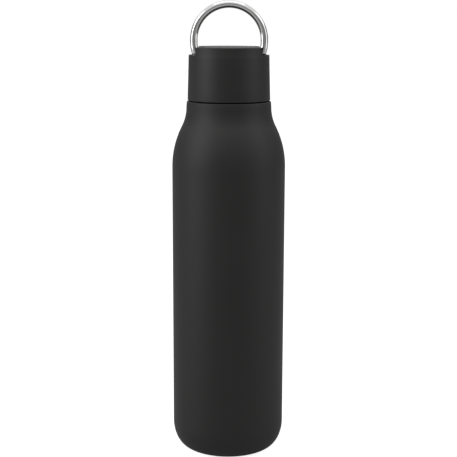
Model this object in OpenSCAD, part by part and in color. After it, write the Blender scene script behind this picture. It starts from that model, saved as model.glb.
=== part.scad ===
/* [Body] */
// Outside diameter of the straight body
body_d = 71.6; // [70:0.2:73]
// Height of the straight wall's lower end above the base
corner_h = 16.5; // [14:0.5:18]
// Height of the straight wall's upper end, where the shoulder starts
shoulder_z = 184.4; // [150:0.2:230]
// Steel wall of the outer body
outer_wall = 0.6; // [0.5:0.1:0.8]
// Steel wall of the liner
liner_wall = 0.5; // [0.4:0.1:0.6]
// Width of the vacuum space beside the liner
vacuum_gap = 3; // [2.5:0.1:3.5]

/* [Neck and thread] */
// Steepest slope of the shoulder away from the vertical, in degrees
shoulder_slope = 25.5; // [24:0.5:27]
// Outside radius of the bare neck tube
neck_r = 21; // [20.5:0.1:21]
// Height of the lip above the shoulder's top edge
neck_h = 15.3; // [15:0.1:16]
// Rise of the thread in one turn
thread_lead = 5; // [5:0.1:5.5]
// Turns of the neck's thread
neck_turns = 1.5; // [1:0.25:1.5]
// Turns of the cap's thread
cap_turns = 1.25; // [1:0.25:1.25]

/* [Cap] */
// Height of the cap shell from its lower rim to its top face
cap_h = 33.1; // [33:0.1:35]
// Gap between the cap's lower rim and the body's top edge
seam_gap = 0.6; // [0.4:0.1:1]
// Depth of the step on each side of the cap
step_h = 5; // [4.5:0.1:5]
// Half width of the cap's top face between the two steps
step_top_x = 19.2; // [18.5:0.1:19.4]
// Half width at the foot of the sloped step walls
step_foot_x = 21.2; // [21:0.1:21.5]

/* [Loop] */
// Diameter of the ring's middle line
ring_d = 43.9; // [43.5:0.1:44.5]
// Straight stretch of each leg between the ring's upper half and its lower curve
leg_straight = 1.3; // [1:0.1:1.6]
// Diameter of the round bar
bar_d = 4.7; // [4.4:0.1:4.8]
// Height of the ring's centre above the cap's top face
ring_above = 4.2; // [4:0.1:4.4]
// Depth of the pivot pins below the cap's top face
pivot_depth = 9; // [9:0.1:9.2]
// Swing of the loop to each side, in degrees
swing = 40; // [35:1:42]

/* [Hidden] */
$fn = 96;
body_r = body_d / 2;

// Lower corner: a quarter ellipse from the foot up to the straight wall
corner_r = 10;
foot_r = body_r - corner_r;
foot_lip = 2;
recess_h = 2.6;
recess_r = foot_r - foot_lip - 0.4;
base_wall = outer_wall;

// Shoulder: a convex arc, a short straight and a concave arc
shoulder_r1 = 56;
shoulder_flat = 2.5;
shoulder_r2 = 26;
arc_steps = 10;
top_edge_r = 0.6;
top_edge_drop = 3.7;

// Shoulder's outline: centres of its arcs and the ends of its straight
s_sin = sin(shoulder_slope);
s_cos = cos(shoulder_slope);
s1_end = [body_r - shoulder_r1 * (1 - s_cos), shoulder_z + shoulder_r1 * s_sin];
s2_start = s1_end + shoulder_flat * [-s_sin, s_cos];
s2_centre = s2_start + shoulder_r2 * [s_cos, s_sin];
shoulder_top_r = s2_centre[0] - shoulder_r2;
rim_z = s2_centre[1] + top_edge_drop;
rim_r = shoulder_top_r - 0.2;
lip_z = rim_z + neck_h;

// Liner
liner_r = body_r - outer_wall - vacuum_gap;
liner_floor = 9;
liner_corner = 11;
liner_neck_r = neck_r - outer_wall - 0.6;
mouth_r = liner_neck_r - liner_wall;

// Thread
thread_depth = 1.3;
thread_root = 2.4;
thread_crest = 1.0;
thread_root_sink = 0.3;
thread_steps = 30;
cap_thread_r = neck_r + thread_depth + 0.3;
cap_crest_r = neck_r + 0.4;
neck_thread_z = lip_z - 10;
thread_offset = 1.9;

// Cap shell
cap_bottom_z = rim_z + seam_gap;
cap_top_z = cap_bottom_z + cap_h;
step_z = cap_top_z - step_h;
cap_foot_r = 25.95;
cap_middle_r = 25.55;
cap_middle_z = cap_top_z - 18;
cap_upper_r = 25.05;
cap_bore_r = 24.4;
cap_rim_r = 0.5;
cap_top_edge = 0.8;
ledge_edge = 1.2;
ledge_r = 25.23;

// Inner cap
gasket_h = 1.6;
plate_z = lip_z + gasket_h;
plate_h = 1.6;
core_top_z = plate_z + plate_h;
core_bottom_z = cap_bottom_z + 0.9;
core_r = cap_bore_r;
plug_r = 17.5;
plug_wall = 1.5;
plug_depth = 6.5;

// Cavity under the cap's top, open downward between the two pivot bosses
cavity_x = 13.2;
cavity_y = 19;
cavity_top_z = cap_top_z - 2.2;

// Loop, pivot and the pocket that the loop swings in
ring_r = ring_d / 2;
bar_r = bar_d / 2;
ring_z = cap_top_z + ring_above;
pivot_z = cap_top_z - pivot_depth;
pivot_drop = ring_z - pivot_z;
leg_drop = pivot_drop - leg_straight;
leg_angle = 28;
eye_x = 17.5;
eye_r = 3.4;
eye_half = 1.6;
pin_r = 1.5;
pin_play = 0.05;
eye_bore_r = pin_r + pin_play;
eye_bore_reach = eye_half + bar_d;
washer_h = 0.3;
pocket_play = 0.3;
slot_inner_x = eye_x - eye_half - washer_h;
slot_outer_x = eye_x + eye_half + pocket_play;
eye_pocket_r = eye_r + pocket_play;
leg_pocket_x = 21.8;
pin_head_r = 2.5;
pin_head_h = 1;
pin_tip_x = 23.8;

// Retainer bar behind the pin heads, and its screws
retainer_w = 5;
retainer_arm = 7;
retainer_h = 1.5;
retainer_z = pivot_z - 0.5;
screw_y = 12;
screw_post_r = 3;
screw_r = 1.1;
screw_len = 6;
screw_head_r = 2.1;
screw_head_h = 1.2;

// Base cover, seal and getter
dimple_r = 6;
dimple_h = 1.6;
vent_r = 0.8;
disc_r = recess_r - 0.3;
disc_h = 0.9;
adhesive_h = 0.3;
foil_h = 0.2;
foil_low = 24;
foil_high = shoulder_z - 8;

// The getter stands in its clip on the bottom cup, beside the dimple and under the liner
getter_r = 4;
getter_h = 1.5;
getter_x = 13;
clip_foot_z = recess_h + base_wall;

// Points on an arc, both ends included
function arc(centre, r, from, to, steps) =
  [for (i = [0:steps]) let (a = from + (to - from) * i / steps) centre + r * [cos(a), sin(a)]];

// Points on a quarter ellipse from its low end to its widest end
function corner(rx, rz, centre, steps) =
  [for (i = [0:steps]) centre + [rx * sin(90 * i / steps), -rz * cos(90 * i / steps)]];

// The shoulder's outline, set inwards by a distance, from its foot up
function shoulder(inset) = concat(
  arc([body_r - shoulder_r1, shoulder_z], shoulder_r1 - inset, 0, shoulder_slope, arc_steps),
  arc(s2_centre, shoulder_r2 + inset, 180 + shoulder_slope, 180, arc_steps)
);

// Helical ridge: a trapezoid swept up a right-handed helix, faded out at both ends
module ridge(root_r, crest_r, z0, turns) {
  steps = round(turns * thread_steps);
  side = crest_r > root_r ? 1 : -1;
  points = [
    for (i = [0:steps])
      let (
        turn = i / thread_steps,
        a = 360 * turn,
        z = z0 + thread_lead * turn,
        fade = min(1, 0.15 + i / 4, 0.15 + (steps - i) / 4),
        tip = root_r + (crest_r - root_r) * fade,
        low = root_r - side * thread_root_sink,
        half_root = thread_root / 2,
        half_tip = half_root - (half_root - thread_crest / 2) * fade
      )
      for (p = [[low, -half_root], [tip, -half_tip], [tip, half_tip], [low, half_root]])
        [p[0] * cos(a), p[0] * sin(a), z + p[1]]
  ];
  walls = [
    for (i = [0:steps - 1])
      for (j = [0:3])
        let (a = 4 * i + j, b = 4 * i + (j + 1) % 4)
          for (t = [[a, b, a + 4], [b, b + 4, a + 4]])
            side > 0 ? t : [t[2], t[1], t[0]]
  ];
  last = 4 * steps;
  ends = [[2, 1, 0], [3, 2, 0], [last, last + 1, last + 2], [last, last + 2, last + 3]];
  polyhedron(points, concat(walls, [for (t = ends) side > 0 ? t : [t[2], t[1], t[0]]]));
}

module outer_shell() {
  color("#2c2c2b")
    union() {
      rotate_extrude()
        polygon(concat(
          [[body_r, corner_h]],
          shoulder(0),
          arc([rim_r - top_edge_r, rim_z - top_edge_r], top_edge_r, 0, 90, 4),
          [[neck_r, rim_z], [neck_r, lip_z], [neck_r - outer_wall, lip_z],
           [neck_r - outer_wall, rim_z - outer_wall], [rim_r - top_edge_r - 0.2, rim_z - outer_wall]],
          [for (i = [1:2 * arc_steps + 2]) shoulder(outer_wall)[2 * arc_steps + 2 - i]],
          [[body_r - outer_wall, corner_h]]
        ));
      ridge(neck_r, neck_r + thread_depth, neck_thread_z, neck_turns);
    }
}

module outer_base() {
  steps = 12;
  inner_foot = foot_r - foot_lip;
  color("#2c2c2b")
    rotate_extrude()
      polygon(concat(
        [[inner_foot, 0]],
        corner(corner_r, corner_h, [foot_r, corner_h], steps),
        [for (i = [0:steps])
          corner(corner_r - base_wall, corner_h - base_wall, [foot_r, corner_h], steps)[steps - i]],
        [[inner_foot + 0.4, base_wall], [recess_r + base_wall, recess_h + base_wall],
         [dimple_r + 1, recess_h + base_wall], [dimple_r - 0.6, recess_h + dimple_h + base_wall],
         [vent_r, recess_h + dimple_h + base_wall], [vent_r, recess_h + dimple_h],
         [dimple_r - 1, recess_h + dimple_h], [dimple_r + 0.6, recess_h], [recess_r, recess_h]]
      ));
}

module base_disc() {
  color("#b9bab8")
    translate([0, 0, recess_h - adhesive_h - disc_h])
      cylinder(r = disc_r, h = disc_h);
}

module disc_adhesive() {
  color("#d9d4c4")
    translate([0, 0, recess_h - adhesive_h])
      difference() {
        cylinder(r = disc_r - 1.5, h = adhesive_h);
        translate([0, 0, -1])
          cylinder(r = dimple_r + 2, h = adhesive_h + 2);
      }
}

module vacuum_seal() {
  seal_r = 2.4;
  vent_z = recess_h + dimple_h;
  color("#8a8f94")
    rotate_extrude()
      polygon([
        [0, vent_z - 0.9], [1.4, vent_z - 0.75], [seal_r, vent_z - 0.3], [seal_r, vent_z],
        [vent_r, vent_z], [vent_r, vent_z + base_wall], [0, vent_z + base_wall]
      ]);
}

module inner_liner() {
  steps = 8;
  inset = outer_wall + vacuum_gap;
  seat = 0.6;
  outer = concat(
    [[0, liner_floor], [liner_r - liner_corner, liner_floor]],
    corner(liner_corner, liner_corner, [liner_r - liner_corner, liner_floor + liner_corner], steps),
    [for (p = shoulder(inset)) if (p[0] > liner_neck_r + 1) p],
    [[liner_neck_r, rim_z - 2], [liner_neck_r, lip_z - seat], [neck_r - outer_wall, lip_z - seat],
     [neck_r - outer_wall, lip_z], [mouth_r, lip_z], [mouth_r, rim_z - 2.2]]
  );
  inner_shoulder = [for (p = shoulder(inset + liner_wall)) if (p[0] > mouth_r + 1) p];
  inner_count = len(inner_shoulder);
  inner_corner = corner(
    liner_corner - liner_wall, liner_corner - liner_wall,
    [liner_r - liner_corner, liner_floor + liner_corner], steps
  );
  color("#b4b5b4")
    rotate_extrude()
      polygon(concat(
        outer,
        [for (i = [1:inner_count]) inner_shoulder[inner_count - i]],
        [for (i = [0:steps]) inner_corner[steps - i]],
        [[0, liner_floor + liner_wall]]
      ));
}

module radiation_foil() {
  play = 0.05;
  color("#b87333")
    translate([0, 0, foil_low])
      difference() {
        cylinder(r = liner_r + play + foil_h, h = foil_high - foil_low);
        translate([0, 0, -1])
          cylinder(r = liner_r + play, h = foil_high - foil_low + 2);
      }
}

module getter_pill() {
  color("#5d5f61")
    translate([getter_x, 0, clip_foot_z + 0.4])
      cylinder(r = getter_r, h = getter_h);
}

module getter_clip() {
  clip_w = 5;
  strip = 0.4;
  arm_h = getter_h + 1.1;
  color("#9da0a2")
    difference() {
      union() {
        translate([getter_x - getter_r - strip, -clip_w / 2, clip_foot_z])
          cube([2 * getter_r + 2 * strip, clip_w, strip]);
        for (side = [0, 1])
          translate([getter_x - getter_r - strip + side * (2 * getter_r + strip), -clip_w / 2, clip_foot_z])
            cube([strip, clip_w, arm_h]);
      }
      translate([getter_x, 0, clip_foot_z + strip])
        cylinder(r = getter_r, h = getter_h);
    }
}

module mouth_gasket() {
  color("#d8d8d4")
    translate([0, 0, lip_z])
      difference() {
        cylinder(r = neck_r + 0.9, h = gasket_h);
        translate([0, 0, -1])
          cylinder(r = plug_r + 0.1, h = gasket_h + 2);
      }
}

// Space that the legs sweep, with play, as they swing about the pins: their curved outline turned about
// the pin line, kept inside a fan as wide as the bar at the swing's two ends
module ring_sweep() {
  clear_r = bar_r + pocket_play;
  fan_foot = clear_r / sin(swing);
  fan_h = 2 * pivot_depth + fan_foot;
  translate([0, 0, pivot_z])
    intersection() {
      rotate([90, 0, 90])
        translate([0, 0, -ring_d])
          linear_extrude(height = 2 * ring_d)
            polygon([
              [0, -fan_foot], [fan_h * tan(swing), fan_h - fan_foot],
              [-fan_h * tan(swing), fan_h - fan_foot]
            ]);
      rotate([0, 90, 0])
        rotate([0, 0, 90])
          rotate_extrude(angle = 180)
            intersection() {
              translate([leg_drop, 0])
                difference() {
                  circle(r = ring_r + clear_r);
                  circle(r = ring_r - clear_r);
                }
              translate([pocket_play, -ring_d])
                square([2 * ring_d, 2 * ring_d]);
            }
    }
}

// The round bar in the XZ plane, about the pivot line: upper half ring, straight stretches and curved legs
module ring_bar() {
  translate([0, 0, pivot_drop])
    rotate([90, 0, 0])
      bent_bar(180);
  for (side = [0, 1])
    mirror([side, 0, 0])
      translate([0, 0, leg_drop]) {
        translate([-ring_r, 0, 0])
          cylinder(r = bar_r, h = leg_straight);
        rotate([90, 0, 180])
          mirror([0, 1, 0])
            bent_bar(leg_angle);
      }
}

// Round bar bent about the Z axis through a turn, starting on the X axis
module bent_bar(turn) {
  rotate_extrude(angle = turn)
    translate([ring_r, 0])
      circle(r = bar_r);
}

module cap_shell() {
  color("#2a2a29")
    difference() {
      cap_outside();
      cap_inside();
      cap_steps();
      ring_sweep();
      for (side = [-1, 1]) {
        eye_slot(side);
        pin_holes(side);
      }
      for (side = [-1, 1])
        translate([0, side * screw_y, retainer_z + retainer_h - 1])
          cylinder(r = screw_r, h = screw_len);
    }
}

module cap_outside() {
  rotate_extrude()
    polygon(concat(
      [[0, cap_bottom_z]],
      arc([cap_foot_r - cap_rim_r, cap_bottom_z + cap_rim_r], cap_rim_r, -90, 0, 3),
      [[cap_middle_r, cap_middle_z]],
      arc([cap_upper_r - cap_top_edge, cap_top_z - cap_top_edge], cap_top_edge, 0, 90, 5),
      [[0, cap_top_z]]
    ));
}

// Bore for the inner cap, and the cavity above it with two screw posts left standing
module cap_inside() {
  translate([0, 0, cap_bottom_z - 1])
    cylinder(r = cap_bore_r, h = core_top_z - cap_bottom_z + 1);
  difference() {
    intersection() {
      translate([-cavity_x, -cavity_y, core_top_z - 1])
        cube([2 * cavity_x, 2 * cavity_y, cavity_top_z - core_top_z + 1]);
      translate([0, 0, core_top_z - 1])
        cylinder(r = cap_bore_r - 1, h = cap_h);
    }
    for (side = [-1, 1])
      translate([0, side * screw_y, retainer_z + retainer_h])
        cylinder(r = screw_post_r, h = cap_h);
  }
}

// Step cut on each side: level floor with a rounded outer edge, and a sloped inner wall
module cap_steps() {
  reach = 40;
  above = 1;
  slope_x = above * (step_foot_x - step_top_x) / step_h;
  for (side = [0, 1])
    mirror([side, 0, 0]) {
      rotate([90, 0, 0])
        translate([0, 0, -reach])
          linear_extrude(height = 2 * reach)
            polygon([
              [step_foot_x, step_z], [reach, step_z], [reach, cap_top_z + above],
              [step_top_x - slope_x, cap_top_z + above]
            ]);
      intersection() {
        translate([step_foot_x, -reach, step_z - ledge_edge])
          cube([reach, 2 * reach, ledge_edge + above]);
        rotate_extrude()
          polygon(concat(
            arc([ledge_r - ledge_edge, step_z - ledge_edge], ledge_edge, 0, 90, 5),
            [[ledge_r - ledge_edge, step_z + above], [ledge_r + above, step_z + above],
             [ledge_r + above, step_z - ledge_edge]]
          ));
      }
    }
}

// Round pocket for the eye and the leg's end, and the slot above the eye
module eye_slot(side) {
  width = slot_outer_x - slot_inner_x;
  translate([0, 0, pivot_z])
    rotate([0, side * 90, 0])
      translate([0, 0, slot_inner_x])
        cylinder(r = eye_pocket_r, h = leg_pocket_x - slot_inner_x);
  translate([side * (slot_inner_x + width / 2) - width / 2, -eye_pocket_r, pivot_z])
    cube([width, 2 * eye_pocket_r, pivot_depth + 1]);
}

module pin_holes(side) {
  translate([0, 0, pivot_z])
    rotate([0, side * 90, 0])
      cylinder(r = pin_r, h = pin_tip_x);
}

module cap_core() {
  plug_z = lip_z - plug_depth;
  color("#343433")
    union() {
      rotate_extrude()
        polygon([
          [0, plug_z], [plug_r - 1, plug_z], [plug_r, plug_z + 1], [plug_r, plate_z],
          [cap_thread_r, plate_z], [cap_thread_r, core_bottom_z], [core_r, core_bottom_z],
          [core_r, core_top_z], [plug_r - plug_wall, core_top_z],
          [plug_r - plug_wall, plug_z + plug_wall], [0, plug_z + plug_wall]
        ]);
      ridge(cap_thread_r, cap_crest_r, neck_thread_z - thread_offset, cap_turns);
    }
}

module cap_foam() {
  plug_floor = lip_z - plug_depth + plug_wall;
  color("#ece7d6")
    translate([0, 0, plug_floor])
      cylinder(r = plug_r - plug_wall - 0.2, h = core_top_z - plug_floor);
}

module pivot_pin(side) {
  color("#a9abad")
    translate([0, 0, pivot_z])
      rotate([0, side * 90, 0])
        union() {
          translate([0, 0, cavity_x - pin_head_h])
            cylinder(r = pin_head_r, h = pin_head_h);
          translate([0, 0, cavity_x - 0.1])
            cylinder(r = pin_r, h = pin_tip_x - cavity_x - 0.3);
        }
}

module pivot_pin_left() {
  pivot_pin(-1);
}

module pivot_pin_right() {
  pivot_pin(1);
}

module friction_washer(side) {
  color("#1d1d1d")
    translate([0, 0, pivot_z])
      rotate([0, side * 90, 0])
        translate([0, 0, slot_inner_x])
          difference() {
            cylinder(r = eye_r - 0.3, h = washer_h);
            translate([0, 0, -1])
              cylinder(r = pin_r, h = washer_h + 2);
          }
}

module friction_washer_left() {
  friction_washer(-1);
}

module friction_washer_right() {
  friction_washer(1);
}

// Bar between the pin heads, with an ear to each screw post
module pin_retainer() {
  half = cavity_x - pin_head_h;
  color("#3a3b3c")
    difference() {
      union() {
        translate([-half, -retainer_w / 2, retainer_z])
          cube([2 * half, retainer_w, retainer_h]);
        translate([-retainer_arm / 2, -screw_y - screw_post_r, retainer_z])
          cube([retainer_arm, 2 * (screw_y + screw_post_r), retainer_h]);
      }
      for (side = [-1, 1])
        translate([0, side * screw_y, retainer_z - 1])
          cylinder(r = screw_r + 0.2, h = retainer_h + 2);
    }
}

module retainer_screws() {
  color("#8f9294")
    for (side = [-1, 1])
      translate([0, side * screw_y, retainer_z])
        union() {
          translate([0, 0, -screw_head_h])
            cylinder(r = screw_head_r, h = screw_head_h);
          cylinder(r = screw_r, h = screw_len);
        }
}

module loop() {
  color("#c9cacb")
    translate([0, 0, pivot_z])
      difference() {
        union() {
          ring_bar();
          for (side = [-1, 1])
            translate([side * eye_x, 0, 0])
              rotate([0, 90, 0])
                translate([0, 0, -eye_half])
                  cylinder(r = eye_r, h = 2 * eye_half);
        }
        for (side = [-1, 1])
          translate([side * eye_x, 0, 0])
            rotate([0, 90, 0])
              translate([0, 0, -eye_bore_reach])
                cylinder(r = eye_bore_r, h = 2 * eye_bore_reach);
      }
}

outer_shell();
outer_base();
base_disc();
disc_adhesive();
vacuum_seal();
inner_liner();
radiation_foil();
getter_pill();
getter_clip();
mouth_gasket();
cap_shell();
cap_core();
cap_foam();
pivot_pin_left();
pivot_pin_right();
friction_washer_left();
friction_washer_right();
pin_retainer();
retainer_screws();
loop();
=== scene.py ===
"""Insulated water bottle: finishes and detailed pieces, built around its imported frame."""
import math

import bmesh
import bpy
from mathutils import Matrix, Vector


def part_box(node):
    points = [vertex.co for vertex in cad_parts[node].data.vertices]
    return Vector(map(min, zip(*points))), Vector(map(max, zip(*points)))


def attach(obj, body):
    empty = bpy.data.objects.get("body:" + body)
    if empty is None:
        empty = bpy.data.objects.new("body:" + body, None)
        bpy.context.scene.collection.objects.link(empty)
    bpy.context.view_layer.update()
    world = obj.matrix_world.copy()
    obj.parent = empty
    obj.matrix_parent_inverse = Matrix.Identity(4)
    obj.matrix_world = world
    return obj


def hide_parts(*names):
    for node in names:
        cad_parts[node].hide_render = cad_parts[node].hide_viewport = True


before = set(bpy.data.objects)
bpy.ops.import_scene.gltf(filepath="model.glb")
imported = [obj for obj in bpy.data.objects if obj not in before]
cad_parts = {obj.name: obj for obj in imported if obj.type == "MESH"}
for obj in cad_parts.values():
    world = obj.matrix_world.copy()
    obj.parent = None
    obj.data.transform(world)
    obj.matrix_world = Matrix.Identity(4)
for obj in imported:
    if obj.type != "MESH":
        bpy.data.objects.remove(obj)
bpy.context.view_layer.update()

MM = 0.001

# ---------------------------------------------------------------- driving places, read from the frame
BODY_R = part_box("outer_base")[1].x
CORNER_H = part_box("outer_base")[1].z
LIP_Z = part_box("outer_shell")[1].z
NECK_H = 15.3 * MM
RIM_Z = LIP_Z - NECK_H
CAP_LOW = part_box("cap_shell")[0].z
CAP_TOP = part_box("cap_shell")[1].z
CAP_FOOT_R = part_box("cap_shell")[1].x
CORE_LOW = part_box("cap_core")[0].z
CORE_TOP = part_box("cap_core")[1].z
CORE_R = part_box("cap_core")[1].x
PLATE_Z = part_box("mouth_gasket")[1].z
GASKET_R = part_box("mouth_gasket")[1].x
LINER_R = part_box("inner_liner")[1].x
LINER_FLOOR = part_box("inner_liner")[0].z
LOOP_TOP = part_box("loop")[1].z
RING_OUTER_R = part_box("loop")[1].x
PIVOT_Z = (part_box("friction_washer_left")[0].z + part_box("friction_washer_left")[1].z) / 2

# ---------------------------------------------------------------- sizes
WALL = 0.6 * MM
LINER_WALL = 0.5 * MM
CORNER_R = 10 * MM
FOOT_R = BODY_R - CORNER_R
FOOT_LIP = 2 * MM
RECESS_H = 2.6 * MM
RECESS_R = FOOT_R - FOOT_LIP - 0.4 * MM
SHOULDER_Z = 184.4 * MM
SHOULDER_SLOPE = 25.5
SHOULDER_R1 = 56 * MM
SHOULDER_FLAT = 2.5 * MM
SHOULDER_R2 = 26 * MM
RIM_EDGE = 0.6 * MM
RIM_DRAFT = 0.2 * MM
NECK_R = 21 * MM
MOUTH_R = 19.3 * MM
THREAD_LEAD = 5 * MM
THREAD_DEPTH = 1.3 * MM
THREAD_ROOT = 2.4 * MM
THREAD_CREST = 1.0 * MM
NECK_TURNS = 1.5
CAP_TURNS = 1.25
NECK_THREAD_Z = LIP_Z - 10 * MM
CAP_THREAD_Z = NECK_THREAD_Z - 1.9 * MM
CAP_THREAD_R = 22.6 * MM
PLUG_R = 17.5 * MM
PLUG_Z = LIP_Z - 6.5 * MM
STEP_Z = CAP_TOP - 5 * MM
STEP_TOP_X = 19.2 * MM
STEP_FOOT_X = 21.2 * MM
LEDGE_R = 25.23 * MM
LEDGE_EDGE = 1.2 * MM
CAP_TOP_R = 25.05 * MM
CAP_TOP_EDGE = 0.8 * MM
CAP_MIDDLE_R = 25.55 * MM
CAP_MIDDLE_Z = CAP_TOP - 18 * MM
BAR_R = 2.35 * MM
RING_R = RING_OUTER_R - BAR_R
RING_Z = LOOP_TOP - RING_OUTER_R
LEG_STRAIGHT = 1.3 * MM
LEG_Z = RING_Z - LEG_STRAIGHT
LEG_ANGLE = 28
LEG_POCKET_X = 21.8 * MM
EYE_X = 17.5 * MM
EYE_R = 3.4 * MM
EYE_HALF = 1.6 * MM
EYE_BORE_R = 1.55 * MM
POCKET_PLAY = 0.3 * MM
SWING = 40
SLOT_INNER_X = EYE_X - EYE_HALF - 0.3 * MM
SLOT_OUTER_X = EYE_X + EYE_HALF + POCKET_PLAY

ROUND = 256  # steps round a turned piece
MERGE = 0.002 * MM  # points closer than this become one

# ---------------------------------------------------------------- light levels of the studio's surround
SURROUND_FRONT = 0.26
SURROUND_BACK = 1.0
SURROUND_ABOVE = 1.0
SURROUND_LIT = 0.4


# ---------------------------------------------------------------- outlines
def arc(centre, radius, start, end, steps):
    """Points (radius, height) along an arc, angles in degrees."""
    angles = [math.radians(start + (end - start) * i / steps) for i in range(steps + 1)]
    return [(centre[0] + radius * math.cos(a), centre[1] + radius * math.sin(a)) for a in angles]


def corner(rx, rz, centre, steps):
    """Quarter ellipse from its low end to its widest end."""
    turns = [math.pi / 2 * i / steps for i in range(steps + 1)]
    return [(centre[0] + rx * math.sin(t), centre[1] - rz * math.cos(t)) for t in turns]


def shoulder(inset, steps):
    """The shoulder's outline from its foot to the neck, set inwards by a distance."""
    slope = math.radians(SHOULDER_SLOPE)
    sine, cosine = math.sin(slope), math.cos(slope)
    first = (BODY_R - SHOULDER_R1, SHOULDER_Z)
    start_r = first[0] + SHOULDER_R1 * cosine - SHOULDER_FLAT * sine
    start_z = first[1] + SHOULDER_R1 * sine + SHOULDER_FLAT * cosine
    second = (start_r + SHOULDER_R2 * cosine, start_z + SHOULDER_R2 * sine)
    return (arc(first, SHOULDER_R1 - inset, 0, SHOULDER_SLOPE, steps)
            + arc(second, SHOULDER_R2 + inset, 180 + SHOULDER_SLOPE, 180, steps))


# ---------------------------------------------------------------- mesh making
def to_object(name, bm, sharp=35):
    """A finished mesh from a bmesh, smooth except at its sharp edges."""
    bmesh.ops.remove_doubles(bm, verts=bm.verts, dist=MERGE)
    bmesh.ops.recalc_face_normals(bm, faces=bm.faces)
    mesh = bpy.data.meshes.new(name)
    bm.to_mesh(mesh)
    bm.free()
    mesh.shade_smooth()
    mesh.set_sharp_from_angle(angle=math.radians(sharp))
    obj = bpy.data.objects.new(name, mesh)
    bpy.context.scene.collection.objects.link(obj)
    return obj


def outline_edges(bm, points, closed=True):
    """Vertices and edges of an outline in the XZ plane."""
    verts = [bm.verts.new((r, 0, z)) for r, z in points]
    pairs = list(zip(verts, verts[1:]))
    if closed:
        pairs.append((verts[-1], verts[0]))
    edges = [bm.edges.new(pair) for pair in pairs]
    return verts + edges


def turned(points, steps=ROUND, closed=True):
    """A bmesh turned about the bottle's axis from an outline."""
    bm = bmesh.new()
    geometry = outline_edges(bm, points, closed)
    bmesh.ops.spin(bm, geom=geometry, cent=(0, 0, 0), axis=(0, 0, 1), angle=2 * math.pi,
                   steps=steps, use_merge=True, use_normal_flip=False, use_duplicate=False)
    bmesh.ops.remove_doubles(bm, verts=bm.verts, dist=MERGE)
    return bm


def add_thread(bm, root_r, crest_r, low_z, turns):
    """Add a right-handed helical ridge that fades out at both ends."""
    sink = 0.3 * MM * (1 if root_r > crest_r else -1)
    steps = round(turns * 96)
    half_root, half_crest = THREAD_ROOT / 2, THREAD_CREST / 2
    outline = [(root_r + sink, low_z - half_root), (root_r, low_z - half_root),
               (crest_r, low_z - half_crest), (crest_r, low_z + half_crest),
               (root_r, low_z + half_root), (root_r + sink, low_z + half_root)]
    ridge = bmesh.new()
    geometry = outline_edges(ridge, outline)
    bmesh.ops.spin(ridge, geom=geometry, cent=(0, 0, 0), axis=(0, 0, 1), angle=2 * math.pi * turns,
                   dvec=(0, 0, THREAD_LEAD * turns / steps), steps=steps,
                   use_merge=False, use_normal_flip=False, use_duplicate=False)
    bmesh.ops.holes_fill(ridge, edges=ridge.edges, sides=0)
    fade_turns = 0.09
    for vert in ridge.verts:
        part = math.atan2(vert.co.y, vert.co.x) / (2 * math.pi)
        part += round((vert.co.z - low_z) / THREAD_LEAD - part)
        fade = max(0.0, min(1.0, part / fade_turns, (turns - part) / fade_turns))
        reach = math.hypot(vert.co.x, vert.co.y)
        if (reach - root_r) * (crest_r - root_r) > 0:
            wanted = root_r + (reach - root_r) * math.sin(fade * math.pi / 2)
            vert.co.x *= wanted / reach
            vert.co.y *= wanted / reach
    bmesh.ops.bevel(ridge, geom=[e for e in ridge.edges if e.calc_face_angle(0) > math.radians(20)],
                    offset=0.18 * MM, offset_type="OFFSET", affect="EDGES", segments=2, profile=0.5,
                    material=-1, clamp_overlap=True)
    merge_into(bm, ridge)


def merge_into(bm, other):
    """Put the second bmesh's geometry into the first."""
    mesh = bpy.data.meshes.new("scratch")
    bmesh.ops.recalc_face_normals(other, faces=other.faces)
    other.to_mesh(mesh)
    other.free()
    bm.from_mesh(mesh)
    bpy.data.meshes.remove(mesh)


def combine(obj, tool, operation):
    """Join, cut or intersect a piece with a tool piece, and remove the tool."""
    modifier = obj.modifiers.new(operation, "BOOLEAN")
    modifier.operation = operation
    modifier.object = tool
    modifier.solver = "EXACT"
    depsgraph = bpy.context.evaluated_depsgraph_get()
    mesh = bpy.data.meshes.new_from_object(obj.evaluated_get(depsgraph))
    obj.modifiers.remove(modifier)
    old = obj.data
    obj.data = mesh
    bpy.data.meshes.remove(old)
    bpy.data.objects.remove(tool)


def prism(name, points, depth):
    """A bar along Y with an outline in the XZ plane, centred on the XZ plane."""
    bm = bmesh.new()
    verts = [bm.verts.new((x, -depth / 2, z)) for x, z in points]
    face = bm.faces.new(verts)
    moved = bmesh.ops.extrude_face_region(bm, geom=[face])["geom"]
    bmesh.ops.translate(bm, verts=[v for v in moved if isinstance(v, bmesh.types.BMVert)], vec=(0, depth, 0))
    return to_object(name, bm)


def rounded(points, radii, steps=6):
    """An outline in the XZ plane with each listed corner rounded to its radius."""
    out = []
    count = len(points)
    for i, point in enumerate(points):
        radius = radii.get(i, 0)
        if not radius:
            out.append(point)
            continue
        here = Vector(point)
        before = (Vector(points[i - 1]) - here).normalized()
        after = (Vector(points[(i + 1) % count]) - here).normalized()
        half = before.angle(after) / 2
        middle = here + (before + after).normalized() * radius / math.sin(half)
        start = here + before * radius / math.tan(half) - middle
        end = here + after * radius / math.tan(half) - middle
        for step in range(steps + 1):
            direction = start.lerp(end, step / steps).normalized()
            out.append(tuple(middle + direction * radius))
    return out


# ---------------------------------------------------------------- node groups shared by the materials
def new_group(name, inputs, outputs):
    """An empty shader group with named inputs (name: default) and outputs (name: socket type)."""
    group = bpy.data.node_groups.new(name, "ShaderNodeTree")
    for label, default in inputs.items():
        socket = group.interface.new_socket(label, in_out="INPUT", socket_type="NodeSocketFloat")
        socket.default_value = default
    for label, kind in outputs.items():
        group.interface.new_socket(label, in_out="OUTPUT", socket_type=kind)
    return group, group.nodes.new("NodeGroupInput"), group.nodes.new("NodeGroupOutput")


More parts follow.
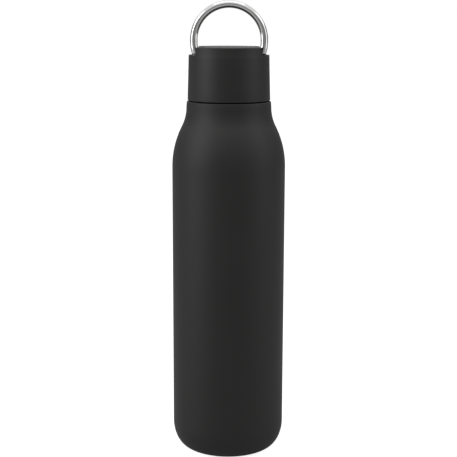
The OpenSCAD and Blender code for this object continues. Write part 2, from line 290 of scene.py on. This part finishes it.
def math_node(tree, operation, first, second=None):
    """A math node whose operands are sockets or numbers."""
    node = tree.nodes.new("ShaderNodeMath")
    node.operation = operation
    for socket, value in zip(node.inputs, (first, second)):
        if value is None:
            continue
        if isinstance(value, (int, float)):
            socket.default_value = value
        else:
            tree.links.new(value, socket)
    return node.outputs[0]


def noise(tree, coordinate, scale, detail=2.0, roughness=0.5):
    """A noise texture; its scale is a number or a socket, in waves per metre."""
    node = tree.nodes.new("ShaderNodeTexNoise")
    node.inputs["Detail"].default_value = detail
    node.inputs["Roughness"].default_value = roughness
    if isinstance(scale, (int, float)):
        node.inputs["Scale"].default_value = scale
    else:
        tree.links.new(scale, node.inputs["Scale"])
    tree.links.new(coordinate, node.inputs["Vector"])
    return node.outputs[0]


def grain_group():
    """Fine grain of a sprayed coat or a moulded skin: a height and a slow drift of tone."""
    group, source, sink = new_group(
        "fine_grain", {"Grain per metre": 2500.0, "Drift per metre": 25.0},
        {"Height": "NodeSocketFloat", "Drift": "NodeSocketFloat"})
    place = group.nodes.new("ShaderNodeTexCoord").outputs["Object"]
    fine = noise(group, place, source.outputs["Grain per metre"], 3.0, 0.6)
    coarse = noise(group, place, math_node(group, "MULTIPLY", source.outputs["Grain per metre"], 0.3), 1.0)
    fine_part = math_node(group, "MULTIPLY", fine, 0.6)
    coarse_part = math_node(group, "MULTIPLY", coarse, 0.4)
    height = math_node(group, "ADD", fine_part, coarse_part)
    group.links.new(height, sink.inputs["Height"])
    group.links.new(noise(group, place, source.outputs["Drift per metre"], 3.0), sink.inputs["Drift"])
    return group


def turning_group():
    """Fine rings left by turning or spinning a piece about the bottle's axis."""
    group, source, sink = new_group(
        "turning_marks", {"Rings per metre": 6000.0, "Length stretch": 0.02},
        {"Height": "NodeSocketFloat", "Tone": "NodeSocketFloat"})
    place = group.nodes.new("ShaderNodeTexCoord").outputs["Object"]
    split = group.nodes.new("ShaderNodeSeparateXYZ")
    group.links.new(place, split.inputs[0])
    square = math_node(group, "ADD", math_node(group, "MULTIPLY", split.outputs[0], split.outputs[0]),
                       math_node(group, "MULTIPLY", split.outputs[1], split.outputs[1]))
    radius = math_node(group, "SQRT", square)
    angle = math_node(group, "ARCTAN2", split.outputs[1], split.outputs[0])
    join = group.nodes.new("ShaderNodeCombineXYZ")
    group.links.new(radius, join.inputs[0])
    group.links.new(split.outputs[2], join.inputs[1])
    stretch = math_node(group, "MULTIPLY", source.outputs["Length stretch"], 0.02)
    group.links.new(math_node(group, "MULTIPLY", angle, stretch), join.inputs[2])
    rings = noise(group, join.outputs[0], source.outputs["Rings per metre"], 2.0, 0.6)
    group.links.new(rings, sink.inputs["Height"])
    slow = math_node(group, "MULTIPLY", source.outputs["Rings per metre"], 0.15)
    group.links.new(noise(group, join.outputs[0], slow, 2.0), sink.inputs["Tone"])
    return group


GRAIN = grain_group()
TURNING = turning_group()


# ---------------------------------------------------------------- materials
def new_material(name, roughness, metallic=0.0, specular=0.5):
    """A material with its Principled shader, and its tree and shader for the caller to finish."""
    material = bpy.data.materials.new(name)
    material.use_nodes = True
    tree = material.node_tree
    shader = tree.nodes["Principled BSDF"]
    shader.inputs["Roughness"].default_value = roughness
    shader.inputs["Metallic"].default_value = metallic
    shader.inputs["Specular IOR Level"].default_value = specular
    return material, tree, shader


def place_group(tree, group, values):
    """The group in a material, with its own values."""
    node = tree.nodes.new("ShaderNodeGroup")
    node.node_tree = group
    for label, value in values.items():
        node.inputs[label].default_value = value
    return node


def spread(tree, value, low, high, start=0.3, end=0.7):
    """A value between start and end mapped on to the range low to high."""
    node = tree.nodes.new("ShaderNodeMapRange")
    node.inputs["From Min"].default_value = start
    node.inputs["From Max"].default_value = end
    node.inputs["To Min"].default_value = low
    node.inputs["To Max"].default_value = high
    tree.links.new(value, node.inputs["Value"])
    return node.outputs["Result"]


def blend_colours(tree, value, first, second):
    """A colour between two, by a 0 to 1 value."""
    node = tree.nodes.new("ShaderNodeMix")
    node.data_type = "RGBA"
    node.inputs[6].default_value = (*first, 1)
    node.inputs[7].default_value = (*second, 1)
    tree.links.new(spread(tree, value, 0, 1), node.inputs[0])
    return node.outputs[2]


def relief(tree, shader, height, depth, strength=1.0):
    """Bump of a real depth in metres."""
    node = tree.nodes.new("ShaderNodeBump")
    node.inputs["Strength"].default_value = strength
    node.inputs["Distance"].default_value = depth
    tree.links.new(height, node.inputs["Height"])
    tree.links.new(node.outputs[0], shader.inputs["Normal"])


def coated(name, dark, light, roughness, grain, depth, specular=0.5):
    """A grained, non-metal finish: sprayed coat, moulded plastic, rubber, foam or bead."""
    material, tree, shader = new_material(name, roughness, specular=specular)
    marks = place_group(tree, GRAIN, {"Grain per metre": grain})
    tree.links.new(blend_colours(tree, marks.outputs["Drift"], dark, light), shader.inputs["Base Color"])
    tree.links.new(spread(tree, marks.outputs["Drift"], roughness - 0.03, roughness + 0.03),
                   shader.inputs["Roughness"])
    relief(tree, shader, marks.outputs["Height"], depth)
    return material


def turned_metal(name, dark, light, roughness, rings, depth):
    """Metal that shows the fine rings of turning."""
    material, tree, shader = new_material(name, roughness, metallic=1.0)
    marks = place_group(tree, TURNING, {"Rings per metre": rings})
    tree.links.new(blend_colours(tree, marks.outputs["Tone"], dark, light), shader.inputs["Base Color"])
    tree.links.new(spread(tree, marks.outputs["Tone"], roughness - 0.06, roughness + 0.06),
                   shader.inputs["Roughness"])
    relief(tree, shader, marks.outputs["Height"], depth)
    return material


def polished_metal(name, dark, light, roughness, depth):
    """Polished metal with a faint haze of buffing marks."""
    material, tree, shader = new_material(name, roughness, metallic=1.0)
    marks = place_group(tree, GRAIN, {"Grain per metre": 900.0, "Drift per metre": 120.0})
    tree.links.new(blend_colours(tree, marks.outputs["Drift"], dark, light), shader.inputs["Base Color"])
    tree.links.new(spread(tree, marks.outputs["Drift"], roughness * 0.7, roughness * 1.3),
                   shader.inputs["Roughness"])
    relief(tree, shader, marks.outputs["Height"], depth)
    return material


BLACK_COAT = coated("black_powder_coat", (0.0050, 0.0050, 0.0046), (0.0070, 0.0070, 0.0066),
                    0.56, 3200.0, 0.006 * MM, specular=0.42)
BLACK_CAP = coated("black_moulded_cap", (0.0048, 0.0048, 0.0045), (0.0068, 0.0068, 0.0064),
                   0.53, 2600.0, 0.006 * MM, specular=0.42)
INNER_PLASTIC = coated("inner_cap_plastic", (0.02, 0.02, 0.02), (0.03, 0.03, 0.03), 0.42, 1500.0, 0.004 * MM)
SILICONE = coated("gasket_silicone", (0.62, 0.62, 0.6), (0.7, 0.7, 0.68), 0.45, 1200.0, 0.003 * MM)
NYLON = coated("washer_nylon", (0.02, 0.02, 0.02), (0.03, 0.03, 0.03), 0.4, 2000.0, 0.003 * MM)
FOAM = coated("plug_foam", (0.6, 0.55, 0.42), (0.8, 0.76, 0.62), 0.9, 900.0, 0.15 * MM)
ADHESIVE = coated("disc_adhesive", (0.55, 0.5, 0.36), (0.68, 0.62, 0.48), 0.5, 700.0, 0.02 * MM)
SEAL_BEAD = coated("vacuum_bead", (0.1, 0.11, 0.12), (0.2, 0.22, 0.24), 0.25, 900.0, 0.01 * MM)
GETTER = coated("sintered_getter", (0.06, 0.06, 0.065), (0.12, 0.12, 0.125), 0.8, 3000.0, 0.03 * MM)
BARE_STEEL = turned_metal("turned_steel", (0.5, 0.5, 0.49), (0.62, 0.62, 0.61), 0.26, 5200.0, 0.0015 * MM)
SPRING_STEEL = polished_metal("spring_steel", (0.48, 0.48, 0.48), (0.6, 0.6, 0.6), 0.28, 0.002 * MM)
POLISHED_STEEL = polished_metal("polished_steel", (0.60, 0.60, 0.595), (0.66, 0.66, 0.655), 0.1, 0.0006 * MM)
COPPER = polished_metal("copper_foil", (0.72, 0.36, 0.22), (0.85, 0.5, 0.34), 0.22, 0.02 * MM)


# ---------------------------------------------------------------- pieces
def finish_piece(obj, material, body, slot, *nodes):
    """Give a piece its material and its body, and hide the nodes that it stands for; the slot is not used.
    """
    obj.data.materials.clear()
    obj.data.materials.append(material)
    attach(obj, body)
    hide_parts(*nodes)
    return obj


def make_painted_body():
    """Painted body from the foot ring over the shoulder to the foot of the neck, under the cap."""
    rim_r = shoulder(0, 1)[-1][0] - RIM_DRAFT
    paint_end_r, paint_end_z = NECK_R + 0.08 * MM, RIM_Z + 3 * MM
    outside = (
        [(0, RECESS_H), (RECESS_R - 0.5 * MM, RECESS_H)]
        + arc((RECESS_R - 0.5 * MM, RECESS_H - 0.5 * MM), 0.5 * MM, 90, 10, 4)
        + arc((FOOT_R - FOOT_LIP + 0.5 * MM, 0.5 * MM), 0.5 * MM, 190, 270, 4)
        + corner(CORNER_R, CORNER_H, (FOOT_R, CORNER_H), 40)
        + [(BODY_R, CORNER_H + 2 * MM), (BODY_R, SHOULDER_Z - 2 * MM)]
        + shoulder(0, 28)
        + arc((rim_r - RIM_EDGE, RIM_Z - RIM_EDGE), RIM_EDGE, 0, 90, 8)
        + [(paint_end_r, RIM_Z), (paint_end_r, paint_end_z), (NECK_R - 0.1 * MM, paint_end_z)]
    )
    inside = (
        [(NECK_R - 0.1 * MM, RIM_Z - WALL)]
        + shoulder(WALL, 12)[::-1]
        + corner(CORNER_R - WALL, CORNER_H - WALL, (FOOT_R, CORNER_H), 12)[::-1]
        + [(RECESS_R + WALL, RECESS_H + WALL), (0, RECESS_H + WALL)]
    )
    return to_object("painted_body", turned(outside + inside, closed=False))


def make_threaded_neck():
    """Bare steel neck tube with its rolled thread and rounded lip."""
    inner_r = NECK_R - WALL
    points = (
        [(inner_r, RIM_Z - WALL), (NECK_R, RIM_Z - WALL)]
        + arc((NECK_R - 0.25 * MM, LIP_Z - 0.25 * MM), 0.25 * MM, 0, 90, 4)
        + [(inner_r, LIP_Z)]
    )
    bm = turned(points)
    add_thread(bm, NECK_R, NECK_R + THREAD_DEPTH, NECK_THREAD_Z, NECK_TURNS)
    return to_object("threaded_neck", bm)


def make_liner():
    """Steel flask that holds the drink, with its weld at the lip."""
    inset = BODY_R - LINER_R
    corner_r = 11 * MM
    centre = (LINER_R - corner_r, LINER_FLOOR + corner_r)
    neck_outer = MOUTH_R + LINER_WALL
    outside = (
        [(0, LINER_FLOOR)] + corner(corner_r, corner_r, centre, 16)
        + shoulder(inset, 14)
        + [(neck_outer, RIM_Z - 2 * MM), (neck_outer, LIP_Z - 0.6 * MM), (NECK_R - WALL, LIP_Z - 0.6 * MM),
           (NECK_R - WALL, LIP_Z)]
    )
    inside = (
        arc((MOUTH_R + 0.5 * MM, LIP_Z - 0.5 * MM), 0.5 * MM, 90, 180, 6)
        + [(MOUTH_R, RIM_Z - 1.2 * MM), (MOUTH_R + 0.15 * MM, RIM_Z - 2.2 * MM)]
        + shoulder(inset + LINER_WALL, 28)[::-1]
        + corner(corner_r - LINER_WALL, corner_r - LINER_WALL, centre, 24)[::-1]
        + [(0, LINER_FLOOR + LINER_WALL)]
    )
    return to_object("steel_flask", turned(outside + inside, closed=False))


def make_base_cover():
    """Cover disc in the base, with a chamfered edge and a shallow turned step."""
    low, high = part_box("base_disc")
    edge = 0.25 * MM
    points = [
        (0, low.z + 0.1 * MM), (3 * MM, low.z + 0.1 * MM), (3.3 * MM, low.z), (high.x - 3.2 * MM, low.z),
        (high.x - 3.0 * MM, low.z + 0.12 * MM), (high.x - 2.6 * MM, low.z + 0.12 * MM),
        (high.x - 2.4 * MM, low.z), (high.x - edge, low.z), (high.x, low.z + edge),
        (high.x, high.z), (0, high.z)
    ]
    return to_object("base_cover", turned(points, closed=False), sharp=20)


def make_gasket():
    """Silicone ring with rounded edges and a sealing bead on each face."""
    low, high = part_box("mouth_gasket")
    inner_r = PLUG_R + 0.1 * MM
    edge = 0.35 * MM
    bead_r = (MOUTH_R + NECK_R) / 2
    points = (
        arc((GASKET_R - edge, low.z + edge), edge, -90, 0, 4)
        + arc((GASKET_R - edge, high.z - edge), edge, 0, 90, 4)
        + arc((inner_r + edge, high.z - edge), edge, 90, 180, 4)
        + arc((inner_r + edge, low.z + edge), edge, 180, 270, 4)
        + [(bead_r - 1.2 * MM, low.z), (bead_r - 1.0 * MM, low.z + 0.12 * MM),
           (bead_r + 1.0 * MM, low.z + 0.12 * MM), (bead_r + 1.2 * MM, low.z)]
    )
    return to_object("gasket_ring", turned(points, steps=192))


def make_inner_cap():
    """Inner cap: threaded skirt, top plate and hollow plug in one moulding."""
    wall = 1.5 * MM
    edge = 1.0 * MM
    points = (
        [(0, PLUG_Z)]
        + arc((PLUG_R - edge, PLUG_Z + edge), edge, -90, 0, 6)
        + [(PLUG_R, PLATE_Z), (CAP_THREAD_R, PLATE_Z)]
        + arc((CAP_THREAD_R + 0.3 * MM, CORE_LOW + 0.3 * MM), 0.3 * MM, 180, 270, 4)
        + arc((CORE_R - 0.3 * MM, CORE_LOW + 0.3 * MM), 0.3 * MM, -90, 0, 4)
        + [(CORE_R, CORE_TOP), (PLUG_R - wall, CORE_TOP), (PLUG_R - wall, PLUG_Z + wall), (0, PLUG_Z + wall)]
    )
    bm = turned(points, closed=False)
    add_thread(bm, CAP_THREAD_R, NECK_R + 0.4 * MM, CAP_THREAD_Z, CAP_TURNS)
    return to_object("inner_cap", bm)


def ring_sweep_tool():
    """Space that the legs sweep in the cap, as their curved outline turned about the pin line."""
    clear_r = BAR_R + POCKET_PLAY
    lift = LEG_Z - PIVOT_Z
    bm = bmesh.new()
    outer = arc((0, lift), RING_R + clear_r, -90, 90, 96)
    inner = arc((0, lift), RING_R - clear_r, -90, 90, 96)
    section = [(x, z) for x, z in outer if z > POCKET_PLAY]
    section += [(x, z) for x, z in inner[::-1] if z > POCKET_PLAY]
    verts = [bm.verts.new((x, 0, z)) for x, z in section]
    edges = [bm.edges.new((a, b)) for a, b in zip(verts, verts[1:] + verts[:1])]
    reach = 89
    bmesh.ops.rotate(bm, verts=verts, cent=(0, 0, 0), matrix=Matrix.Rotation(math.radians(-reach), 3, "X"))
    bmesh.ops.spin(bm, geom=verts + edges, cent=(0, 0, 0), axis=(1, 0, 0), angle=math.radians(2 * reach),
                   steps=90, use_merge=False, use_normal_flip=False, use_duplicate=False)
    bmesh.ops.holes_fill(bm, edges=bm.edges, sides=0)
    bmesh.ops.translate(bm, verts=bm.verts, vec=(0, 0, PIVOT_Z))
    return to_object("ring_sweep", bm)


def fan_tool():
    """The fan's two sloping sides, as a bar along X."""
    clear_r = BAR_R + POCKET_PLAY
    foot = clear_r / math.sin(math.radians(SWING))
    tall = 26 * MM
    half = tall * math.tan(math.radians(SWING))
    bm = bmesh.new()
    depth = 2 * RING_OUTER_R + 4 * MM
    outline = ((0, -foot), (half, tall - foot), (-half, tall - foot))
    verts = [bm.verts.new((-depth / 2, y, z + PIVOT_Z)) for y, z in outline]
    face = bm.faces.new(verts)
    moved = bmesh.ops.extrude_face_region(bm, geom=[face])["geom"]
    bmesh.ops.translate(bm, verts=[v for v in moved if isinstance(v, bmesh.types.BMVert)], vec=(depth, 0, 0))
    return to_object("fan", bm)


def cylinder_x(name, radius, low_x, high_x, steps=64):
    """A round bar along X through the pivot line."""
    bm = bmesh.new()
    turn = Matrix.Translation(((low_x + high_x) / 2, 0, PIVOT_Z)) @ Matrix.Rotation(math.pi / 2, 4, "Y")
    bmesh.ops.create_cone(bm, cap_ends=True, segments=steps, radius1=radius, radius2=radius,
                          depth=high_x - low_x, matrix=turn)
    return to_object(name, bm)


def block(name, low, high):
    """A plain block between two corners."""
    bm = bmesh.new()
    bmesh.ops.create_cube(bm, size=1)
    bmesh.ops.scale(bm, verts=bm.verts, vec=Vector(high) - Vector(low))
    bmesh.ops.translate(bm, verts=bm.verts, vec=(Vector(high) + Vector(low)) / 2)
    return to_object(name, bm)


def make_cap():
    """Outer cap: drafted wall, a level ledge and sloped step on each side, and the loop's pockets."""
    foot_edge = 0.5 * MM
    lower_wall = (
        [(CORE_R, CORE_TOP), (CORE_R, CAP_LOW)]
        + arc((CAP_FOOT_R - foot_edge, CAP_LOW + foot_edge), foot_edge, -90, 0, 6)
        + [(CAP_MIDDLE_R + 0.2 * MM, (CAP_LOW + CAP_MIDDLE_Z) / 2), (CAP_MIDDLE_R, CAP_MIDDLE_Z)]
    )
    ledge = arc((LEDGE_R - LEDGE_EDGE, STEP_Z - LEDGE_EDGE), LEDGE_EDGE, 0, 90, 8)
    crown = arc((CAP_TOP_R - CAP_TOP_EDGE, CAP_TOP - CAP_TOP_EDGE), CAP_TOP_EDGE, 0, 90, 8)
    wall = [(0, CORE_TOP)] + lower_wall + ledge + [(0, STEP_Z)]
    cap = to_object("outer_cap", turned(wall, closed=False))
    block_low = STEP_Z - 4 * MM
    block_wall = [(0, block_low), (LEDGE_R + 0.05 * MM, block_low)] + crown + [(0, CAP_TOP)]
    block_top = to_object("cap_block", turned(block_wall, closed=False))
    wing_x, wing_low, bar_length = STEP_FOOT_X + 6 * MM, STEP_Z - 5 * MM, 80 * MM
    foot_fillet, top_fillet = 0.6 * MM, 0.5 * MM
    step_outline = [
        (wing_x, wing_low), (wing_x, STEP_Z), (STEP_FOOT_X, STEP_Z), (STEP_TOP_X, CAP_TOP),
        (-STEP_TOP_X, CAP_TOP), (-STEP_FOOT_X, STEP_Z), (-wing_x, STEP_Z), (-wing_x, wing_low)
    ]
    fillets = {2: foot_fillet, 3: top_fillet, 4: top_fillet, 5: foot_fillet}
    keep = prism("keep", rounded(step_outline, fillets), bar_length)
    combine(block_top, keep, "INTERSECT")
    combine(cap, block_top, "UNION")
    sweep = ring_sweep_tool()
    combine(sweep, fan_tool(), "INTERSECT")
    combine(cap, sweep, "DIFFERENCE")
    pocket_r = EYE_R + POCKET_PLAY
    slot_top = CAP_TOP + 3 * MM
    for side in (-1, 1):
        low_x, high_x = sorted((side * SLOT_INNER_X, side * LEG_POCKET_X))
        combine(cap, cylinder_x("eye_pocket", pocket_r, low_x, high_x), "DIFFERENCE")
        low_x, high_x = sorted((side * SLOT_INNER_X, side * SLOT_OUTER_X))
        slot = block("eye_slot", (low_x, -pocket_r, PIVOT_Z), (high_x, pocket_r, slot_top))
        combine(cap, slot, "DIFFERENCE")
    cap.data.shade_smooth()
    cap.data.set_sharp_from_angle(angle=math.radians(30))
    return cap


def extend_bar(bm, ring, rise):
    """Draw the open ring of the bar's end straight up by rise, and give the new ring."""
    edges = [item for item in ring if isinstance(item, bmesh.types.BMEdge)]
    drawn = bmesh.ops.extrude_edge_only(bm, edges=edges)["geom"]
    verts = [item for item in drawn if isinstance(item, bmesh.types.BMVert)]
    bmesh.ops.translate(bm, verts=verts, vec=(0, 0, rise))
    new_edges = [item for item in drawn if isinstance(item, bmesh.types.BMEdge)]
    return verts + [edge for edge in new_edges if set(edge.verts) <= set(verts)]


def make_loop():
    """Carrying loop: a round polished bar bent to a ring, with a flat drilled eye on each leg."""
    bm = bmesh.new()
    bmesh.ops.create_circle(bm, cap_ends=False, radius=BAR_R, segments=48)
    start = (Matrix.Translation((0, 0, LEG_Z)) @ Matrix.Rotation(math.radians(LEG_ANGLE), 4, "Y")
             @ Matrix.Translation((RING_R, 0, 0)))
    bmesh.ops.transform(bm, matrix=start, verts=bm.verts)
    ring = bm.verts[:] + bm.edges[:]
    bends = ((LEG_Z, LEG_ANGLE, LEG_STRAIGHT), (RING_Z, 180, -LEG_STRAIGHT), (LEG_Z, LEG_ANGLE, 0))
    for height, turn, rise in bends:
        ring = bmesh.ops.spin(bm, geom=ring, cent=(0, 0, height), axis=(0, -1, 0), angle=math.radians(turn),
                              steps=turn, use_merge=False, use_normal_flip=False,
                              use_duplicate=False)["geom_last"]
        if rise:
            ring = extend_bar(bm, ring, rise)
    bmesh.ops.holes_fill(bm, edges=bm.edges, sides=0)
    loop = to_object("carrying_loop", bm)
    for side in (-1, 1):
        low_x, high_x = sorted((side * (EYE_X - EYE_HALF), side * (EYE_X + EYE_HALF)))
        combine(loop, cylinder_x("eye", EYE_R, low_x, high_x), "UNION")
        combine(loop, cylinder_x("bore", EYE_BORE_R, low_x - EYE_R, high_x + EYE_R), "DIFFERENCE")
    loop.data.shade_smooth()
    loop.data.set_sharp_from_angle(angle=math.radians(35))
    return loop


finish_piece(make_painted_body(), BLACK_COAT, "bottle", "body_paint", "outer_shell", "outer_base")
finish_piece(make_threaded_neck(), BARE_STEEL, "bottle", "bare_steel", "outer_shell")
finish_piece(make_liner(), BARE_STEEL, "bottle", "bare_steel", "inner_liner")
finish_piece(make_base_cover(), BARE_STEEL, "bottle", "bare_steel", "base_disc")
finish_piece(make_gasket(), SILICONE, "seal_ring", "silicone", "mouth_gasket")
finish_piece(make_inner_cap(), INNER_PLASTIC, "cap", "core_plastic", "cap_core")
finish_piece(make_cap(), BLACK_CAP, "cap", "cap_plastic", "cap_shell")
finish_piece(make_loop(), POLISHED_STEEL, "loop", "polished_steel", "loop")

CAD_FINISHES = {
    "disc_adhesive": ADHESIVE, "vacuum_seal": SEAL_BEAD, "radiation_foil": COPPER, "getter_pill": GETTER,
    "getter_clip": SPRING_STEEL, "cap_foam": FOAM, "pivot_pin_left": SPRING_STEEL,
    "pivot_pin_right": SPRING_STEEL, "friction_washer_left": NYLON, "friction_washer_right": NYLON,
    "pin_retainer": INNER_PLASTIC, "retainer_screws": SPRING_STEEL
}
for node_name, finish in CAD_FINISHES.items():
    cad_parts[node_name].data.materials.clear()
    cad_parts[node_name].data.materials.append(finish)


# ---------------------------------------------------------------- studio
def ray_levels(tree, seen, mirrored, lit):
    """One level for rays of the camera and through glass, one for glossy rays and one for diffuse rays."""
    paths = tree.nodes.new("ShaderNodeLightPath")
    direct = math_node(tree, "MAXIMUM", paths.outputs["Is Camera Ray"], paths.outputs["Is Transmission Ray"])
    level = math_node(tree, "MULTIPLY", direct, seen)
    glossy = math_node(tree, "MULTIPLY", paths.outputs["Is Glossy Ray"], mirrored)
    diffuse = math_node(tree, "MULTIPLY", paths.outputs["Is Diffuse Ray"], lit)
    return math_node(tree, "ADD", level, math_node(tree, "ADD", glossy, diffuse))


def make_floor():
    """Plain pale floor that keeps the bottle's shadow."""
    bm = bmesh.new()
    bmesh.ops.create_grid(bm, x_segments=1, y_segments=1, size=6)
    floor = to_object("floor", bm)
    material, tree, shader = new_material("pale_floor", 0.9, specular=0.1)
    shader.inputs["Base Color"].default_value = (0.5, 0.5, 0.5, 1)
    shader.inputs["Emission Color"].default_value = (1, 1, 1, 1)
    glow = ray_levels(tree, seen=0.88, mirrored=0.16, lit=0.0)
    tree.links.new(glow, shader.inputs["Emission Strength"])
    floor.data.materials.append(material)


def make_world():
    """Soft surround that the camera sees as white, and that is brighter behind the bottle than in front."""
    world = bpy.data.worlds.new("studio")
    bpy.context.scene.world = world
    world.use_nodes = True
    tree = world.node_tree
    background = tree.nodes["Background"]
    background.inputs["Color"].default_value = (1, 1, 1, 1)
    coordinates = tree.nodes.new("ShaderNodeTexCoord")
    parts = tree.nodes.new("ShaderNodeSeparateXYZ")
    tree.links.new(coordinates.outputs["Generated"], parts.inputs[0])
    behind = spread(tree, parts.outputs["Y"], SURROUND_FRONT, SURROUND_BACK, start=0.92, end=0.985)
    above = spread(tree, parts.outputs["Z"], SURROUND_FRONT, SURROUND_ABOVE, start=0.3, end=0.45)
    mirrored = math_node(tree, "MAXIMUM", behind, above)
    level = ray_levels(tree, seen=1.0, mirrored=mirrored, lit=SURROUND_LIT)
    tree.links.new(level, background.inputs["Strength"])


def soft_lamp(name, azimuth, elevation, distance, width, height, watts):
    """A soft box that faces the middle of the bottle; angles in degrees from the front, sizes in metres."""
    lamp = bpy.data.lights.new(name, "AREA")
    lamp.shape = "RECTANGLE"
    lamp.size, lamp.size_y = width, height
    lamp.energy = watts
    obj = bpy.data.objects.new(name, lamp)
    turn, rise = math.radians(azimuth), math.radians(elevation)
    target = Vector((0, 0, 0.15))
    away = Vector((math.sin(turn) * math.cos(rise), -math.cos(turn) * math.cos(rise), math.sin(rise)))
    obj.location = target + away * distance
    obj.rotation_euler = away.to_track_quat("Z", "Y").to_euler()
    bpy.context.scene.collection.objects.link(obj)


def make_camera():
    """Camera in front of the bottle, a little above it, looking slightly down."""
    camera = bpy.data.cameras.new("camera")
    camera.sensor_width = 36
    camera.lens = 89.25
    camera.clip_end = 30
    obj = bpy.data.objects.new("camera", camera)
    distance, height, pitch, roll = 0.7145, 0.280, 10.77, 0.18
    turn = Matrix.Rotation(math.radians(90 - pitch), 4, "X") @ Matrix.Rotation(math.radians(roll), 4, "Z")
    obj.matrix_world = Matrix.Translation((0, -distance, height)) @ turn
    bpy.context.scene.collection.objects.link(obj)
    bpy.context.scene.camera = obj


make_floor()
make_world()
make_camera()
soft_lamp("left_box", -68, 20, 1.2, 0.6, 1.2, 6.8)
soft_lamp("right_box", 72, 20, 1.2, 0.6, 1.2, 3.2)
soft_lamp("top_box", 0, 85, 1.4, 1.2, 1.2, 4.5)
bpy.context.scene.view_settings.view_transform = "Standard"
